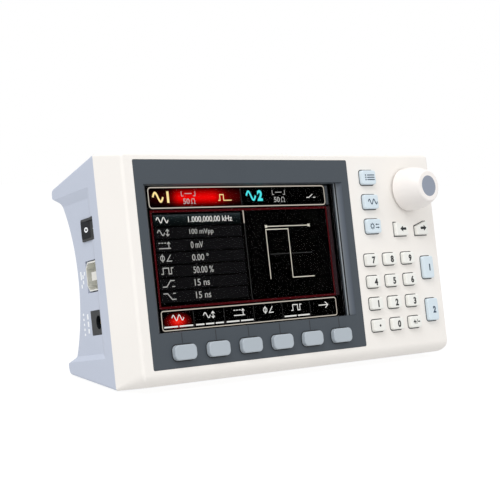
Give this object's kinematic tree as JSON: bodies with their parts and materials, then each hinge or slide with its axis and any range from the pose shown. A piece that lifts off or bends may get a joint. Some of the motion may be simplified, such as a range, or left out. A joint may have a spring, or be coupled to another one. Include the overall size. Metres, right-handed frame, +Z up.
{
  "type": "function generator",
  "caption": "Bench function generator: wide white front leaned back, with a colour screen, keypad and push-and-turn knob, and a tapering grey rear shell with a hollow back and side ports.",
  "frame": {"origin": "bottom centre of the bounding box, on the plane that the feet stand on", "axes": "+X along the width, to the user's right; +Y from the user towards the back; +Z up. The front panel leans back by 9.6 degrees"},
  "size_m": [0.1788, 0.074, 0.0867],
  "materials": {
    "white_plastic": "fine satin moulded",
    "grey_plastic": "fine satin moulded",
    "dark_plastic": "fine satin moulded",
    "clear_cover": "clear, glossy",
    "foam": "matt",
    "steel": "plain sheet",
    "display_glass": "glossy black when off",
    "cap_plastic": "satin",
    "silicone": "matt",
    "circuit_board": "solder mask",
    "brass": "bright",
    "ribbon": "satin film",
    "foot_rubber": "matt",
    "black_plastic": "semi-gloss",
    "nickel": "bright plated",
    "socket_plastic": "matt",
    "aluminium": "anodised",
    "softkey_plastic": "satin",
    "blue_key_plastic": "satin",
    "key_plastic": "satin"
  },
  "bodies": {
    "housing": {"front_frame": "white_plastic", "display_bezel": "dark_plastic", "screen_lens": "clear_cover", "screen_gasket": "foam", "lcd_tray": "steel", "lcd_panel": "display_glass", "encoder_body": "steel", "key_mat": "silicone", "key_board": "circuit_board", "inner_screws": "steel", "chassis_plate": "steel", "spacers": "brass", "main_board": "circuit_board", "ribbon_cable": "ribbon", "rear_shell": "grey_plastic", "case_screws": "steel", "rubber_feet": "foot_rubber", "power_switch_body": "black_plastic", "usb_socket": "nickel", "usb_tongue": "socket_plastic", "dc_jack": "black_plastic", "dc_pin": "brass", "output_socket_1": "nickel", "output_socket_2": "nickel", "sync_socket": "nickel", "socket_insulators": "socket_plastic", "socket_contacts": "brass", "socket_nuts": "nickel", "output_board": "circuit_board", "heat_sink": "aluminium"},
    "softkey_1_body": {"softkey_1": "softkey_plastic"},
    "softkey_2_body": {"softkey_2": "softkey_plastic"},
    "softkey_3_body": {"softkey_3": "softkey_plastic"},
    "softkey_4_body": {"softkey_4": "softkey_plastic"},
    "softkey_5_body": {"softkey_5": "softkey_plastic"},
    "softkey_6_body": {"softkey_6": "softkey_plastic"},
    "key_point_body": {"key_point": "key_plastic"},
    "key_0_body": {"key_0": "key_plastic"},
    "key_sign_body": {"key_sign": "key_plastic"},
    "key_1_body": {"key_1": "key_plastic"},
    "key_2_body": {"key_2": "key_plastic"},
    "key_3_body": {"key_3": "key_plastic"},
    "key_4_body": {"key_4": "key_plastic"},
    "key_5_body": {"key_5": "key_plastic"},
    "key_6_body": {"key_6": "key_plastic"},
    "key_7_body": {"key_7": "key_plastic"},
    "key_8_body": {"key_8": "key_plastic"},
    "key_9_body": {"key_9": "key_plastic"},
    "mode_key_body": {"mode_key": "blue_key_plastic"},
    "wave_key_body": {"wave_key": "blue_key_plastic"},
    "utility_key_body": {"utility_key": "blue_key_plastic"},
    "arrow_left_key_body": {"arrow_left_key": "key_plastic"},
    "arrow_right_key_body": {"arrow_right_key": "key_plastic"},
    "channel_1_key_body": {"channel_1_key": "blue_key_plastic"},
    "channel_2_key_body": {"channel_2_key": "blue_key_plastic"},
    "knob_plunger": {"encoder_plunger": "black_plastic"},
    "knob_turn": {"encoder_shaft": "steel", "knob": "white_plastic", "knob_cap": "cap_plastic"},
    "power_rocker_body": {"power_rocker": "black_plastic"}
  },
  "joints": [
    {"name": "softkey_1_press", "type": "slide", "parent": "housing", "child": "softkey_1_body", "axis": [0, 0.986, -0.1668], "range_m": [0, 0.0008], "stiffness_N_per_m": 350},
    {"name": "softkey_2_press", "type": "slide", "parent": "housing", "child": "softkey_2_body", "axis": [0, 0.986, -0.1668], "range_m": [0, 0.0008], "stiffness_N_per_m": 350},
    {"name": "softkey_3_press", "type": "slide", "parent": "housing", "child": "softkey_3_body", "axis": [0, 0.986, -0.1668], "range_m": [0, 0.0008], "stiffness_N_per_m": 350},
    {"name": "softkey_4_press", "type": "slide", "parent": "housing", "child": "softkey_4_body", "axis": [0, 0.986, -0.1668], "range_m": [0, 0.0008], "stiffness_N_per_m": 350},
    {"name": "softkey_5_press", "type": "slide", "parent": "housing", "child": "softkey_5_body", "axis": [0, 0.986, -0.1668], "range_m": [0, 0.0008], "stiffness_N_per_m": 350},
    {"name": "softkey_6_press", "type": "slide", "parent": "housing", "child": "softkey_6_body", "axis": [0, 0.986, -0.1668], "range_m": [0, 0.0008], "stiffness_N_per_m": 350},
    {"name": "key_point_press", "type": "slide", "parent": "housing", "child": "key_point_body", "axis": [0, 0.986, -0.1668], "range_m": [0, 0.0008], "stiffness_N_per_m": 350},
    {"name": "key_0_press", "type": "slide", "parent": "housing", "child": "key_0_body", "axis": [0, 0.986, -0.1668], "range_m": [0, 0.0008], "stiffness_N_per_m": 350},
    {"name": "key_sign_press", "type": "slide", "parent": "housing", "child": "key_sign_body", "axis": [0, 0.986, -0.1668], "range_m": [0, 0.0008], "stiffness_N_per_m": 350},
    {"name": "key_1_press", "type": "slide", "parent": "housing", "child": "key_1_body", "axis": [0, 0.986, -0.1668], "range_m": [0, 0.0008], "stiffness_N_per_m": 350},
    {"name": "key_2_press", "type": "slide", "parent": "housing", "child": "key_2_body", "axis": [0, 0.986, -0.1668], "range_m": [0, 0.0008], "stiffness_N_per_m": 350},
    {"name": "key_3_press", "type": "slide", "parent": "housing", "child": "key_3_body", "axis": [0, 0.986, -0.1668], "range_m": [0, 0.0008], "stiffness_N_per_m": 350},
    {"name": "key_4_press", "type": "slide", "parent": "housing", "child": "key_4_body", "axis": [0, 0.986, -0.1668], "range_m": [0, 0.0008], "stiffness_N_per_m": 350},
    {"name": "key_5_press", "type": "slide", "parent": "housing", "child": "key_5_body", "axis": [0, 0.986, -0.1668], "range_m": [0, 0.0008], "stiffness_N_per_m": 350},
    {"name": "key_6_press", "type": "slide", "parent": "housing", "child": "key_6_body", "axis": [0, 0.986, -0.1668], "range_m": [0, 0.0008], "stiffness_N_per_m": 350},
    {"name": "key_7_press", "type": "slide", "parent": "housing", "child": "key_7_body", "axis": [0, 0.986, -0.1668], "range_m": [0, 0.0008], "stiffness_N_per_m": 350},
    {"name": "key_8_press", "type": "slide", "parent": "housing", "child": "key_8_body", "axis": [0, 0.986, -0.1668], "range_m": [0, 0.0008], "stiffness_N_per_m": 350},
    {"name": "key_9_press", "type": "slide", "parent": "housing", "child": "key_9_body", "axis": [0, 0.986, -0.1668], "range_m": [0, 0.0008], "stiffness_N_per_m": 350},
    {"name": "mode_key_press", "type": "slide", "parent": "housing", "child": "mode_key_body", "axis": [0, 0.986, -0.1668], "range_m": [0, 0.0008], "stiffness_N_per_m": 350},
    {"name": "wave_key_press", "type": "slide", "parent": "housing", "child": "wave_key_body", "axis": [0, 0.986, -0.1668], "range_m": [0, 0.0008], "stiffness_N_per_m": 350},
    {"name": "utility_key_press", "type": "slide", "parent": "housing", "child": "utility_key_body", "axis": [0, 0.986, -0.1668], "range_m": [0, 0.0008], "stiffness_N_per_m": 350},
    {"name": "arrow_left_key_press", "type": "slide", "parent": "housing", "child": "arrow_left_key_body", "axis": [0, 0.986, -0.1668], "range_m": [0, 0.0008], "stiffness_N_per_m": 350},
    {"name": "arrow_right_key_press", "type": "slide", "parent": "housing", "child": "arrow_right_key_body", "axis": [0, 0.986, -0.1668], "range_m": [0, 0.0008], "stiffness_N_per_m": 350},
    {"name": "channel_1_key_press", "type": "slide", "parent": "housing", "child": "channel_1_key_body", "axis": [0, 0.986, -0.1668], "range_m": [0, 0.0008], "stiffness_N_per_m": 350},
    {"name": "channel_2_key_press", "type": "slide", "parent": "housing", "child": "channel_2_key_body", "axis": [0, 0.986, -0.1668], "range_m": [0, 0.0008], "stiffness_N_per_m": 350},
    {"name": "knob_push", "type": "slide", "parent": "housing", "child": "knob_plunger", "axis": [0, 0.986, -0.1668], "range_m": [0, 0.0005], "stiffness_N_per_m": 800},
    {"name": "knob_spin", "type": "hinge", "parent": "knob_plunger", "child": "knob_turn", "pos_m": [0.06624, -0.02303, 0.07179], "axis": [0, 0.986, -0.1668], "continuous": true},
    {"name": "power_rocker_tilt", "type": "hinge", "parent": "housing", "child": "power_rocker_body", "pos_m": [-0.08195, 0.00177, 0.05823], "axis": [0, 0.1668, 0.986], "range_deg": [-20, 0]}
  ]
}
